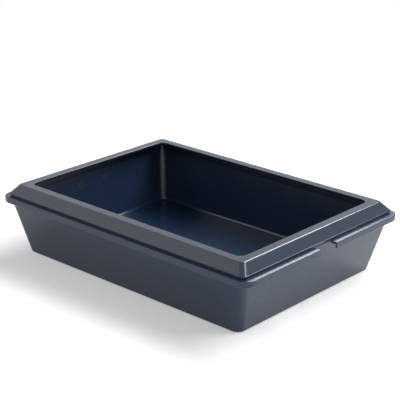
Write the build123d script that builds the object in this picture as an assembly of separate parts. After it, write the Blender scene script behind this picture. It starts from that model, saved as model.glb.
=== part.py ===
from build123d import *
import math
import os

os.makedirs("parts", exist_ok=True)

# Litter tray with a lift-off rim, in millimetres
# Origin at the middle of the foot, on the surface it stands on; +X along the long side, +Z up

# Tray body: half sizes of the outer faces, at the foot and at the mouth
FOOT_X = 182.5
FOOT_Y = 129.0
MOUTH_Z = 79.5
MOUTH_X = 202.1
MOUTH_Y = 145.6
BODY_RADIUS = 11.0
TRAY_WALL = 2.6
FLOOR_PANEL = 2.4
HEEL_ROUND = 2.5
COVE_ROUND = 4.5

# Recess under the floor, so that the tray stands on a band round its edge
FOOT_BAND = 12.0
FOOT_RECESS = 1.2
RECESS_RADIUS = 14.0
GATE_DIMPLE_RADIUS = 7.0
GATE_DIMPLE_DEPTH = 0.6
GATE_NUB_RADIUS = 1.4

# Upstand above the flange, which carries the rim
UPSTAND_RISE = 2.2
UPSTAND_THICK = 1.4

# Flange round the mouth, with a lip turned down at its edge
FLANGE_END_REACH = 7.9
FLANGE_SIDE_REACH = 4.9
FLANGE_RADIUS = 16.5
FLANGE_THICK = 2.6
FLANGE_ROUND = 1.2
LIP_THICK = 1.8
LIP_DROP = 7.6
LIP_TOE_BEVEL = 0.5

# Gussets under the flange, between the wall and the lip
GUSSET_THICK = 1.6
GUSSET_GAP_BELOW = 1.2
GUSSET_PITCH_SIDE = 56.0
GUSSET_PITCH_END = 44.0
GUSSET_CORNER_CLEAR = 8.0

# Finger notch in the middle of the flange at each end
NOTCH_WIDTH = 32.0

# Pair of low pads on the inner face of each end wall
PAD_WIDTH = 11.0
PAD_HEIGHT = 10.0
PAD_PROUD = 0.6
PAD_BEVEL = 0.6
PAD_ROUND = 1.0
PAD_MIDDLE_Z = 59.0
PAD_SPACING = 45.0

# Rim: skirt that slopes up and inwards from the flange to a flat ring
RIM_INSET = 0.3
RIM_RISE = 13.0
RIM_SLOPE_RUN = 11.0
RIM_RADIUS = 8.0
RIM_SKIRT_THICK = 2.6
RIM_TOP_THICK = 2.2
RIM_OUTER_ROUND = 2.4
RIM_TOE_BEVEL = 0.7
RIM_INNER_ROUND = 0.9
RING_WIDTH = 12.1
OPENING_RADIUS = 9.5
HEM_THICK = 2.0
HEM_DROP = 3.4

# Locating wall under the skirt, which drops inside the mouth of the tray
LOCATOR_CLEARANCE = 0.5
LOCATOR_THICK = 1.8
LOCATOR_DEPTH = 4.5
LOCATOR_ROOT = 1.2

# Heights and slopes that follow
FLOOR_TOP_Z = FOOT_RECESS + FLOOR_PANEL
FLANGE_TOP_Z = MOUTH_Z - UPSTAND_RISE
FLANGE_UNDER_Z = FLANGE_TOP_Z - FLANGE_THICK
LIP_TOE_Z = FLANGE_TOP_Z - LIP_DROP
FLANGE_X = MOUTH_X + FLANGE_END_REACH
FLANGE_Y = MOUTH_Y + FLANGE_SIDE_REACH
SLOPE_X = (MOUTH_X - FOOT_X) / MOUTH_Z
SLOPE_Y = (MOUTH_Y - FOOT_Y) / MOUTH_Z
RIM_TOP_Z = MOUTH_Z + RIM_RISE
SKIRT_X = MOUTH_X - RIM_INSET
SKIRT_Y = MOUTH_Y - RIM_INSET
RING_X = SKIRT_X - RIM_SLOPE_RUN
RING_Y = SKIRT_Y - RIM_SLOPE_RUN
OPENING_X = RING_X - RING_WIDTH
OPENING_Y = RING_Y - RING_WIDTH
OVERCUT = 5.0


def outline(half_x, half_y, radius, z):
    """Rounded rectangle given by its half sizes, level at height z."""
    return Plane.XY.offset(z) * RectangleRounded(2 * half_x, 2 * half_y, radius)


def frustum(low, high, radius):
    """Solid with flat sloping sides between two level rectangles, each (half_x, half_y, z).

    The four upright edges are rounded to the radius.
    """
    low_x, low_y, low_z = low
    high_x, high_y, high_z = high
    rise = high_z - low_z
    block = Wedge(
        2 * high_x,
        rise,
        2 * high_y,
        high_x - low_x,
        high_y - low_y,
        high_x + low_x,
        high_y + low_y,
    )
    block = Pos(0, 0, (low_z + high_z) / 2) * Rot(-90, 0, 0) * block
    upright = block.edges().filter_by(lambda edge: edge.bounding_box().size.Z > rise / 2)
    return fillet(upright, radius)


def wall_size(z, inset):
    """Half sizes of the tray wall at height z, moved inwards from the outer face by inset."""
    return (FOOT_X + SLOPE_X * z - inset, FOOT_Y + SLOPE_Y * z - inset, z)


def wall_block(low_z, high_z, inset):
    """Solid inside the face of the tray wall that lies inwards of the outer face by inset."""
    return frustum(wall_size(low_z, inset), wall_size(high_z, inset), BODY_RADIUS - inset)


def level_edges(solid, z):
    """Edges of a solid that lie wholly at height z."""
    return solid.edges().filter_by_position(Axis.Z, z - 0.01, z + 0.01)


def row(pitch, reach):
    """Evenly pitched places about zero, none beyond reach."""
    count = int(reach // pitch)
    return [index * pitch for index in range(-count, count + 1)]


def tray_shell():
    """Drafted body up to the upstand, and the hollow inside it with a cove round its floor."""
    body = fillet(level_edges(wall_block(0, FLANGE_TOP_Z, 0), 0), HEEL_ROUND)
    upstand_x, upstand_y, top_z = wall_size(MOUTH_Z, TRAY_WALL - UPSTAND_THICK)
    upstand = outline(upstand_x, upstand_y, BODY_RADIUS - TRAY_WALL + UPSTAND_THICK, top_z)
    body += extrude(upstand, -UPSTAND_RISE - FLANGE_THICK / 2)
    hollow = wall_block(FLOOR_TOP_Z, MOUTH_Z + OVERCUT, TRAY_WALL)
    hollow = fillet(level_edges(hollow, FLOOR_TOP_Z), COVE_ROUND)
    return body, hollow


def flange():
    """Level flange with a rounded edge and a turned-down lip."""
    slab = extrude(outline(FLANGE_X, FLANGE_Y, FLANGE_RADIUS, LIP_TOE_Z), LIP_DROP)
    slab = fillet(level_edges(slab, FLANGE_TOP_Z), FLANGE_ROUND)
    slab = chamfer(level_edges(slab, LIP_TOE_Z), LIP_TOE_BEVEL)
    channel = extrude(
        outline(
            FLANGE_X - LIP_THICK,
            FLANGE_Y - LIP_THICK,
            FLANGE_RADIUS - LIP_THICK,
            LIP_TOE_Z - OVERCUT,
        ),
        OVERCUT + LIP_DROP - FLANGE_THICK,
    )
    return slab - channel


def gussets():
    """Thin webs under the flange, from the wall to the lip, clear of the notches and corners."""
    depth = LIP_DROP - FLANGE_THICK - GUSSET_GAP_BELOW
    middle_z = FLANGE_UNDER_Z - depth / 2
    root_x, root_y, _ = wall_size(FLANGE_UNDER_Z - depth, TRAY_WALL / 2)
    tip_x = FLANGE_X - LIP_THICK / 2
    tip_y = FLANGE_Y - LIP_THICK / 2
    side_web = Box(GUSSET_THICK, tip_y - root_y, depth)
    end_web = Box(tip_x - root_x, GUSSET_THICK, depth)
    side_reach = FLANGE_X - FLANGE_RADIUS - GUSSET_CORNER_CLEAR
    end_reach = FLANGE_Y - FLANGE_RADIUS - GUSSET_CORNER_CLEAR
    webs = []
    for side in (-1, 1):
        for x in row(GUSSET_PITCH_SIDE, side_reach):
            webs.append(Pos(x, side * (root_y + tip_y) / 2, middle_z) * side_web)
        for y in row(GUSSET_PITCH_END, end_reach):
            if abs(y) > NOTCH_WIDTH / 2 + GUSSET_THICK:
                webs.append(Pos(side * (root_x + tip_x) / 2, y, middle_z) * end_web)
    return webs


def notch():
    """Cutter for the finger notch at the +X end, flush with the sloping outer face of the wall."""
    low_z = LIP_TOE_Z - OVERCUT
    high_z = FLANGE_TOP_Z + OVERCUT
    far_x = FLANGE_X + OVERCUT
    corners = [
        (wall_size(low_z, 0)[0], low_z),
        (far_x, low_z),
        (far_x, high_z),
        (wall_size(high_z, 0)[0], high_z),
    ]
    profile = Plane.XZ * make_face(Polyline(*corners, close=True))
    return extrude(profile, NOTCH_WIDTH / 2, both=True)


def pad(y):
    """Low bevelled pad on the sloping inner face of the +X end wall."""
    inner_x = MOUTH_X - TRAY_WALL - SLOPE_X * (MOUTH_Z - PAD_MIDDLE_Z)
    slope = math.degrees(math.atan(SLOPE_X))
    seat = TRAY_WALL / 2
    half_height = PAD_HEIGHT / 2
    half_width = PAD_WIDTH / 2
    spread = PAD_BEVEL * (seat + PAD_PROUD) / PAD_PROUD
    root = (half_height + spread, half_width + spread, -seat)
    block = frustum(root, (half_height, half_width, PAD_PROUD), PAD_ROUND)
    return Pos(inner_x, y, PAD_MIDDLE_Z) * Rot(0, slope - 90, 0) * block


def make_tray():
    """Tray body in one moulding."""
    body, hollow = tray_shell()
    tray = body + flange()
    for web in gussets():
        tray += web
    tray -= hollow
    tray -= notch()
    tray -= mirror(notch(), Plane.YZ)
    for y in (-PAD_SPACING / 2, PAD_SPACING / 2):
        tray += pad(y)
        tray += mirror(pad(y), Plane.YZ)
    recess = extrude(outline(FOOT_X - FOOT_BAND, FOOT_Y - FOOT_BAND, RECESS_RADIUS, 0), FOOT_RECESS)
    dimple = Pos(0, 0, FOOT_RECESS) * Cylinder(
        GATE_DIMPLE_RADIUS, GATE_DIMPLE_DEPTH, align=(Align.CENTER, Align.CENTER, Align.MIN)
    )
    nub = Pos(0, 0, FOOT_RECESS) * Cylinder(
        GATE_NUB_RADIUS, GATE_DIMPLE_DEPTH, align=(Align.CENTER, Align.CENTER, Align.MIN)
    )
    return tray - recess - dimple + nub


def skirt_block(low_z, high_z, inset):
    """Solid inside the face of the rim's skirt that lies inwards of the outer face by inset."""
    run = RIM_SLOPE_RUN / RIM_RISE
    low_in = inset + run * (low_z - MOUTH_Z)
    high_in = inset + run * (high_z - MOUTH_Z)
    low = (SKIRT_X - low_in, SKIRT_Y - low_in, low_z)
    high = (SKIRT_X - high_in, SKIRT_Y - high_in, high_z)
    return frustum(low, high, RIM_RADIUS - inset)


def locator():
    """Locating wall, parallel to the inner face of the tray wall, from the skirt into the mouth."""
    toe_z = MOUTH_Z - LOCATOR_DEPTH
    root_z = MOUTH_Z + LOCATOR_ROOT
    outer_inset = TRAY_WALL + LOCATOR_CLEARANCE
    below = wall_block(toe_z, MOUTH_Z, outer_inset)
    top_x, top_y, top_z = wall_size(MOUTH_Z, outer_inset)
    above = extrude(outline(top_x, top_y, BODY_RADIUS - outer_inset, top_z), LOCATOR_ROOT)
    return below + above - wall_block(toe_z - OVERCUT, root_z + OVERCUT, outer_inset + LOCATOR_THICK)


def make_rim():
    """Rim in one moulding: skirt, ring, hem round the opening and locating wall."""
    shell = skirt_block(MOUTH_Z, RIM_TOP_Z, 0)
    shell = fillet(level_edges(shell, RIM_TOP_Z), RIM_OUTER_ROUND)
    shell = chamfer(level_edges(shell, MOUTH_Z), RIM_TOE_BEVEL)
    hollow = skirt_block(MOUTH_Z - OVERCUT, RIM_TOP_Z - RIM_TOP_THICK, RIM_SKIRT_THICK)
    hem_toe_z = RIM_TOP_Z - HEM_DROP
    hem = extrude(
        outline(OPENING_X + HEM_THICK, OPENING_Y + HEM_THICK, OPENING_RADIUS + HEM_THICK, hem_toe_z),
        HEM_DROP - RIM_TOP_THICK / 2,
    )
    opening = extrude(
        outline(OPENING_X, OPENING_Y, OPENING_RADIUS, hem_toe_z - OVERCUT),
        HEM_DROP + 2 * OVERCUT,
    )
    rim = shell - hollow + hem + locator()
    rim -= opening
    inner_edges = level_edges(rim, RIM_TOP_Z).filter_by(
        lambda edge: abs(edge.center().X) < OPENING_X + 1 and abs(edge.center().Y) < OPENING_Y + 1
    )
    return fillet(inner_edges, RIM_INNER_ROUND)


def report(name, shape):
    """Write one sub-part and print its size."""
    box = shape.bounding_box()
    export_step(shape, f"parts/{name}.step")
    print(name, len(shape.solids()), "solid", "volume", round(shape.volume), "size", box.size)


report("tray", make_tray())
report("rim", make_rim())
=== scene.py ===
import math

import bmesh
import bpy
from mathutils import Matrix, Vector


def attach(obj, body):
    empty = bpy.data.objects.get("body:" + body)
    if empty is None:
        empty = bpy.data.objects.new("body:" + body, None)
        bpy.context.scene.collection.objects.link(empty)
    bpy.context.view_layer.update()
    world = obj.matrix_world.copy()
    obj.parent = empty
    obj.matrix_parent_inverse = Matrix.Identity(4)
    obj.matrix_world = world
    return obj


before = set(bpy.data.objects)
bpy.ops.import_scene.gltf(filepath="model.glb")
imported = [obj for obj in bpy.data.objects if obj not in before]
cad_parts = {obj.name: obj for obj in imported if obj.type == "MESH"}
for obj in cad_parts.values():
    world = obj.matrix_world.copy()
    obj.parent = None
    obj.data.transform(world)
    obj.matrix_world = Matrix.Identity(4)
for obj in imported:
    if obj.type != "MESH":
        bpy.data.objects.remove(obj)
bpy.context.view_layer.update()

WHITE = (1.0, 1.0, 1.0, 1.0)
MM_PER_METRE = 1000

# Camera, in metres and degrees: it looks at the -Y long side and the +X short side
SENSOR_WIDTH = 0.036
FOCAL_LENGTH = 0.1112
CAMERA_AZIMUTH = 42.33
CAMERA_ELEVATION = 21.45
CAMERA_ROLL = 0.20
CAMERA_DISTANCE = 1.591
CAMERA_TARGET = Vector((0.0, 0.0, 0.050))
CAMERA_SHIFT_X = 0.0083
CAMERA_SHIFT_Y = 0.0582
CLIP_START = 0.05
CLIP_END = 50.0

# Lamps: azimuth from +X towards +Y, elevation, distance, size, and power in watts
KEY_LAMP = dict(azimuth=66.0, elevation=51.0, distance=1.8, size=(2.8, 0.6), power=42.0)
REAR_LAMP = dict(azimuth=103.0, elevation=42.0, distance=1.8, size=(0.8, 0.45), power=7.0)
FILL_LAMP = dict(azimuth=-150.0, elevation=38.0, distance=2.2, size=(1.6, 1.1), power=3.6)
LAMP_AIM = Vector((0.0, 0.0, 0.04))

# World: its level as a light, and as the background that is seen, where 1 is white
WORLD_LEVEL = 0.25
WORLD_SEEN = 1.0

# Floor: half its side, its drop, its own tone, what is added where it is seen, and where it turns plain
FLOOR_HALF = 8.0
FLOOR_DROP = 0.0002
FLOOR_TONE = (0.96, 0.96, 0.96, 1.0)
FLOOR_LIFT = 0.33
FLOOR_NEAR = 0.45
FLOOR_FAR = 1.1

# Polypropylene: navy blue, as linear colour, and a paler tone on the edges, partly rubbed wear and
# partly a painted highlight along the edges
TRAY_NAVY = (0.0125, 0.0300, 0.0700, 1.0)
RIM_NAVY = (0.0100, 0.0225, 0.0550, 1.0)
PLASTIC_RUBBED_AND_GLINT = (0.040, 0.070, 0.130, 1.0)
PAD_TONE = (0.022, 0.038, 0.072, 1.0)
PLASTIC_IOR = 1.50
PLASTIC_SPECULAR = 0.50

# Each moulding's least and greatest roughness, depth of grain and shaded edge radius
TRAY_GLOSS = (0.23, 0.27)
TRAY_GRAIN = 0.000004
TRAY_EDGE = 0.0003
RIM_GLOSS = (0.15, 0.19)
RIM_GRAIN = 0.000002
RIM_EDGE = 0.0007
BEVEL_SAMPLES = 8

# Noise: scales per metre, details, and the part of each noise that is ramped
NOISE_DETAIL = 4.0
NOISE_ROUGHNESS = 0.55
CLOUD_SCALE = 11.0
CLOUD_RAMP = (0.35, 0.75)
RUB_SCALE = 70.0
RUB_RAMP = (0.42, 0.68)
RUB_AND_GLINT_EDGE_RAMP = (0.01, 0.12)
WIPE_STRETCH = (18.0, 240.0, 240.0)
WIPE_SCALE = 1.0
WIPE_DETAIL = 5.0
WIPE_RAMP = (0.35, 0.75)
MOTTLE_SCALE = 38.0
MOTTLE_DETAIL = 6.0
MOTTLE_RAMP = (0.3, 0.72)
GRAIN_SCALE = 1500.0
GRAIN_DETAIL = 3.0
WAVE_SCALE = 26.0
WAVE_DETAIL = 2.0
WAVE_DEPTH = 0.00006

# How much of each noise goes into the colour and the roughness
CLOUD_TINT = 0.06
RUB_AND_GLINT_TINT = 0.50
RUB_ROUGHNESS = 0.08
MOTTLE_SHARE = 0.7
WIPE_SHARE = 0.3

# Bead along the rim's toe, in metres
RIM_TOE_Z = 0.0795
BEAD_ABOVE_TOE = 0.0009
BEAD_RADIUS = 0.00042
BEAD_SINK = 0.00014
BEAD_ROUNDNESS = 3
WELD = 0.00001

# Pads inside the tray's ends, in metres
PAD_Y = 0.0225
PAD_Z = 0.0590
PAD_HALF = 0.0052
PAD_SOFT = 0.0008
PAD_X_START = 0.18
PAD_X_FULL = 0.185
PAD_X_MOST = 0.1955
PAD_X_FADE = 0.0001


def link(obj):
    """Put an object in the scene, and hand it back."""
    bpy.context.scene.collection.objects.link(obj)
    return obj


def heading(azimuth, elevation):
    """Unit vector at an azimuth from +X towards +Y and an elevation, in degrees."""
    a = math.radians(azimuth)
    e = math.radians(elevation)
    return Vector((math.cos(a) * math.cos(e), math.sin(a) * math.cos(e), math.sin(e)))


def make_camera():
    """Camera at the photograph's viewing angle."""
    back = heading(CAMERA_AZIMUTH - 90.0, CAMERA_ELEVATION)
    data = bpy.data.cameras.new("camera")
    data.sensor_width = SENSOR_WIDTH * MM_PER_METRE
    data.lens = FOCAL_LENGTH * MM_PER_METRE
    data.shift_x = CAMERA_SHIFT_X
    data.shift_y = CAMERA_SHIFT_Y
    data.clip_start = CLIP_START
    data.clip_end = CLIP_END
    camera = link(bpy.data.objects.new("camera", data))
    roll = Matrix.Rotation(math.radians(CAMERA_ROLL), 3, "Z").to_quaternion()
    camera.location = CAMERA_TARGET + back * CAMERA_DISTANCE
    camera.rotation_mode = "QUATERNION"
    camera.rotation_quaternion = (-back).to_track_quat("-Z", "Y") @ roll
    bpy.context.scene.camera = camera


def make_lamp(name, azimuth, elevation, distance, size, power):
    """Rectangular soft lamp that faces the object."""
    data = bpy.data.lights.new(name, "AREA")
    data.shape = "RECTANGLE"
    data.size, data.size_y = size
    data.energy = power
    lamp = link(bpy.data.objects.new(name, data))
    out = heading(azimuth, elevation)
    lamp.location = LAMP_AIM + out * distance
    lamp.rotation_mode = "QUATERNION"
    lamp.rotation_quaternion = (-out).to_track_quat("-Z", "Y")


class Nodes:
    """Short way to add and join the nodes of one tree."""

    def __init__(self, tree):
        self.tree = tree
        tree.nodes.clear()

    def add(self, kind, **values):
        """New node; a value is a socket to join, or a plain value for that input."""
        node = self.tree.nodes.new("ShaderNode" + kind)
        for key, value in values.items():
            self.put(node, key.replace("_", " "), value)
        return node

    def put(self, node, key, value):
        """Join a socket to an input, or set the input to a plain value."""
        if isinstance(value, bpy.types.NodeSocket):
            self.tree.links.new(value, node.inputs[key])
        else:
            node.inputs[key].default_value = value

    def math(self, operation, first, second=0.0):
        """Result of an operation on one or two numbers."""
        node = self.tree.nodes.new("ShaderNodeMath")
        node.operation = operation
        self.put(node, 0, first)
        self.put(node, 1, second)
        return node.outputs[0]

    def dot(self, first, second):
        """Dot product of two directions."""
        node = self.tree.nodes.new("ShaderNodeVectorMath")
        node.operation = "DOT_PRODUCT"
        self.put(node, 0, first)
        self.put(node, 1, second)
        return node.outputs["Value"]

    def length(self, vector):
        """Length of a vector."""
        node = self.tree.nodes.new("ShaderNodeVectorMath")
        node.operation = "LENGTH"
        self.put(node, 0, vector)
        return node.outputs["Value"]

    def ramp(self, value, low, high, out_low=0.0, out_high=1.0):
        """Value mapped from low..high to out_low..out_high, clamped, with soft ends."""
        node = self.tree.nodes.new("ShaderNodeMapRange")
        node.interpolation_type = "SMOOTHSTEP"
        self.put(node, "From Min", low)
        self.put(node, "From Max", high)
        self.put(node, "To Min", out_low)
        self.put(node, "To Max", out_high)
        self.put(node, "Value", value)
        return node.outputs["Result"]

    def noise(self, place, scale, detail=NOISE_DETAIL):
        """Soft noise between zero and one."""
        node = self.add(
            "TexNoise",
            Vector=place,
            Scale=scale,
            Detail=detail,
            Roughness=NOISE_ROUGHNESS,
        )
        return node.outputs["Fac"]

    def stretch(self, place, scale):
        """Place with its axes scaled."""
        return self.add("Mapping", Vector=place, Scale=scale).outputs["Vector"]

    def bump(self, height, depth, normal):
        """Normal with a height pressed into it, to a depth in metres."""
        node = self.add("Bump", Strength=1.0, Distance=depth, Height=height, Normal=normal)
        return node.outputs["Normal"]

    def blend(self, amount, first, second):
        """Colour between first and second."""
        node = self.tree.nodes.new("ShaderNodeMix")
        node.data_type = "RGBA"
        self.put(node, "Factor", amount)
        self.put(node, "A", first)
        self.put(node, "B", second)
        return node.outputs["Result"]

    def join(self, kind, *shaders, factor=None):
        """Two shaders added, or mixed by a factor."""
        node = self.tree.nodes.new("ShaderNode" + kind)
        first = 0
        if factor is not None:
            self.put(node, 0, factor)
            first = 1
        for index, shader in enumerate(shaders, first):
            self.put(node, index, shader)
        return node.outputs[0]


def new_material(name):
    """Empty material, and the way to its nodes."""
    material = bpy.data.materials.new(name)
    material.use_nodes = True
    return material, Nodes(material.node_tree)


def pad_mask(t, place):
    """One on the four small pads inside the tray's ends, and zero elsewhere."""
    axes = t.add("SeparateXYZ", Vector=place).outputs
    along = t.math("ABSOLUTE", axes["X"])
    across = t.math("ABSOLUTE", t.math("SUBTRACT", t.math("ABSOLUTE", axes["Y"]), PAD_Y))
    upward = t.math("ABSOLUTE", t.math("SUBTRACT", axes["Z"], PAD_Z))
    mask = t.ramp(along, PAD_X_MOST, PAD_X_MOST + PAD_X_FADE, 1.0, 0.0)
    for distance in (across, upward):
        edge = t.ramp(distance, PAD_HALF - PAD_SOFT, PAD_HALF, 1.0, 0.0)
        mask = t.math("MULTIPLY", mask, edge)
    return t.math("MULTIPLY", mask, t.ramp(along, PAD_X_START, PAD_X_FULL))


def section_loops(mesh, height):
    """Closed loops of points where a level plane cuts a mesh."""
    cut = bmesh.new()
    cut.from_mesh(mesh)
    bmesh.ops.remove_doubles(cut, verts=cut.verts, dist=WELD)
    everything = cut.verts[:] + cut.edges[:] + cut.faces[:]
    bmesh.ops.bisect_plane(
        cut,
        geom=everything,
        plane_co=(0.0, 0.0, height),
        plane_no=(0.0, 0.0, 1.0),
        clear_inner=True,
        clear_outer=True,
    )
    loops = []
    left = set(cut.verts)
    while left:
        vert = min(left, key=lambda v: v.co[:])
        loop = []
        while vert is not None:
            left.remove(vert)
            loop.append(vert.co.copy())
            nearby = [e.other_vert(vert) for e in vert.link_edges]
            vert = next((v for v in nearby if v in left), None)
        loops.append(loop)
    cut.free()
    return loops


def make_toe_bead(material):
    """Thin rounded bead moulded along the toe of the rim, on the rim's own section."""
    loops = section_loops(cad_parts["rim"].data, RIM_TOE_Z + BEAD_ABOVE_TOE)
    outer = max(loops, key=lambda loop: max(p.x for p in loop))
    data = bpy.data.curves.new("rim_toe_bead", "CURVE")
    data.dimensions = "3D"
    data.bevel_depth = BEAD_RADIUS
    data.bevel_resolution = BEAD_ROUNDNESS
    spline = data.splines.new("POLY")
    spline.points.add(len(outer) - 1)
    for point, place in zip(spline.points, outer):
        inward = Vector((place.x, place.y, 0.0)).normalized() * BEAD_SINK
        point.co = (*(place - inward), 1.0)
    spline.use_cyclic_u = True
    data.materials.append(material)
    bead = link(bpy.data.objects.new("rim_toe_bead", data))
    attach(bead, "rim")


def plastic(name, navy, gloss, grain_depth, edge_radius, pads=False):
    """Moulded polypropylene: fine spark grain, cloudy gloss, wiping marks, and paler edges that are
    partly rubbed wear and partly a painted edge highlight.

    gloss is the least and greatest roughness; grain_depth and edge_radius are in metres.
    With pads, the four small pads inside the tray's ends get a paler navy tone.
    """
    material, t = new_material(name)
    place = t.add("TexCoord").outputs["Object"]

    bevel = t.add("Bevel", Radius=edge_radius)
    bevel.samples = BEVEL_SAMPLES
    rounded = bevel.outputs["Normal"]
    # Paler colour along the edges: partly rubbed wear, partly a painted highlight where edges catch the
    # light
    facing = t.dot(rounded, t.add("NewGeometry").outputs["Normal"])
    edge = t.ramp(t.math("SUBTRACT", 1.0, facing), *RUB_AND_GLINT_EDGE_RAMP)
    rubbed_and_glint = t.math("MULTIPLY", edge, t.ramp(t.noise(place, RUB_SCALE), *RUB_RAMP))

    cloud = t.ramp(t.noise(place, CLOUD_SCALE), *CLOUD_RAMP)
    clouded = t.math("MULTIPLY", cloud, CLOUD_TINT)
    # Random cloudy tint, plus the paler edges of rubbed wear and painted edge highlight
    tint = t.math("ADD", clouded, t.math("MULTIPLY", rubbed_and_glint, RUB_AND_GLINT_TINT))
    colour = t.blend(tint, navy, PLASTIC_RUBBED_AND_GLINT)
    if pads:
        colour = t.blend(pad_mask(t, place), colour, PAD_TONE)

    streaks = t.noise(t.stretch(place, WIPE_STRETCH), WIPE_SCALE, WIPE_DETAIL)
    wiped = t.math("MULTIPLY", t.ramp(streaks, *WIPE_RAMP), WIPE_SHARE)
    mottle = t.ramp(t.noise(place, MOTTLE_SCALE, MOTTLE_DETAIL), *MOTTLE_RAMP)
    uneven = t.math("ADD", t.math("MULTIPLY", mottle, MOTTLE_SHARE), wiped)
    roughness = t.ramp(uneven, 0.0, 1.0, *gloss)
    roughness = t.math("ADD", roughness, t.math("MULTIPLY", rubbed_and_glint, RUB_ROUGHNESS))

    fine = t.bump(t.noise(place, GRAIN_SCALE, GRAIN_DETAIL), grain_depth, rounded)
    broad = t.bump(t.noise(place, WAVE_SCALE, WAVE_DETAIL), WAVE_DEPTH, fine)

    shader = t.add(
        "BsdfPrincipled",
        IOR=PLASTIC_IOR,
        Specular_IOR_Level=PLASTIC_SPECULAR,
        Base_Color=colour,
        Roughness=roughness,
        Normal=broad,
    )
    t.add("OutputMaterial", Surface=shader.outputs["BSDF"])
    return material


def seen_rays(t):
    """One for the rays that see the background: from the camera, off gloss or through glass."""
    ray = t.add("LightPath").outputs
    shiny = t.math("MAXIMUM", ray["Is Glossy Ray"], ray["Is Transmission Ray"])
    return t.math("MAXIMUM", ray["Is Camera Ray"], shiny)


def make_floor():
    """Pale floor: it keeps the object's shadow, and far out turns to plain white for every ray."""
    mesh = bpy.data.meshes.new("floor")
    reach = FLOOR_HALF
    corners = [(-reach, -reach, 0), (reach, -reach, 0), (reach, reach, 0), (-reach, reach, 0)]
    mesh.from_pydata(corners, [], [(0, 1, 2, 3)])
    floor = link(bpy.data.objects.new("floor", mesh))
    floor.location.z = -FLOOR_DROP
    material, t = new_material("floor")
    place = t.add("TexCoord").outputs["Object"]
    far = t.ramp(t.length(place), FLOOR_NEAR, FLOOR_FAR)
    lit = t.add("BsdfDiffuse", Color=FLOOR_TONE).outputs["BSDF"]
    seen = t.math("MULTIPLY", seen_rays(t), FLOOR_LIFT)
    lift = t.add("Emission", Color=WHITE, Strength=seen).outputs["Emission"]
    plain = t.add("Emission", Color=WHITE, Strength=1.0).outputs["Emission"]
    near = t.join("AddShader", lit, lift)
    t.add("OutputMaterial", Surface=t.join("MixShader", near, plain, factor=far))
    mesh.materials.append(material)


def make_world():
    """White to every ray that sees the background, and dimmer as a light on the object."""
    world = bpy.data.worlds.new("world")
    world.use_nodes = True
    t = Nodes(world.node_tree)
    extra = t.math("MULTIPLY", seen_rays(t), WORLD_SEEN - WORLD_LEVEL)
    level = t.math("ADD", extra, WORLD_LEVEL)
    background = t.add("Background", Color=WHITE, Strength=level)
    t.add("OutputWorld", Surface=background.outputs["Background"])
    bpy.context.scene.world = world


def dress(node, material):
    """Give a carried-over node its material."""
    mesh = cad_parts[node].data
    mesh.materials.clear()
    mesh.materials.append(material)


make_camera()
make_floor()
make_world()
make_lamp("key_lamp", **KEY_LAMP)
make_lamp("rear_lamp", **REAR_LAMP)
make_lamp("fill_lamp", **FILL_LAMP)
tray_plastic = plastic("tray_plastic", TRAY_NAVY, TRAY_GLOSS, TRAY_GRAIN, TRAY_EDGE, pads=True)
rim_plastic = plastic("rim_plastic", RIM_NAVY, RIM_GLOSS, RIM_GRAIN, RIM_EDGE)
dress("tray", tray_plastic)
dress("rim", rim_plastic)
make_toe_bead(rim_plastic)
bpy.context.scene.view_settings.view_transform = "Standard"
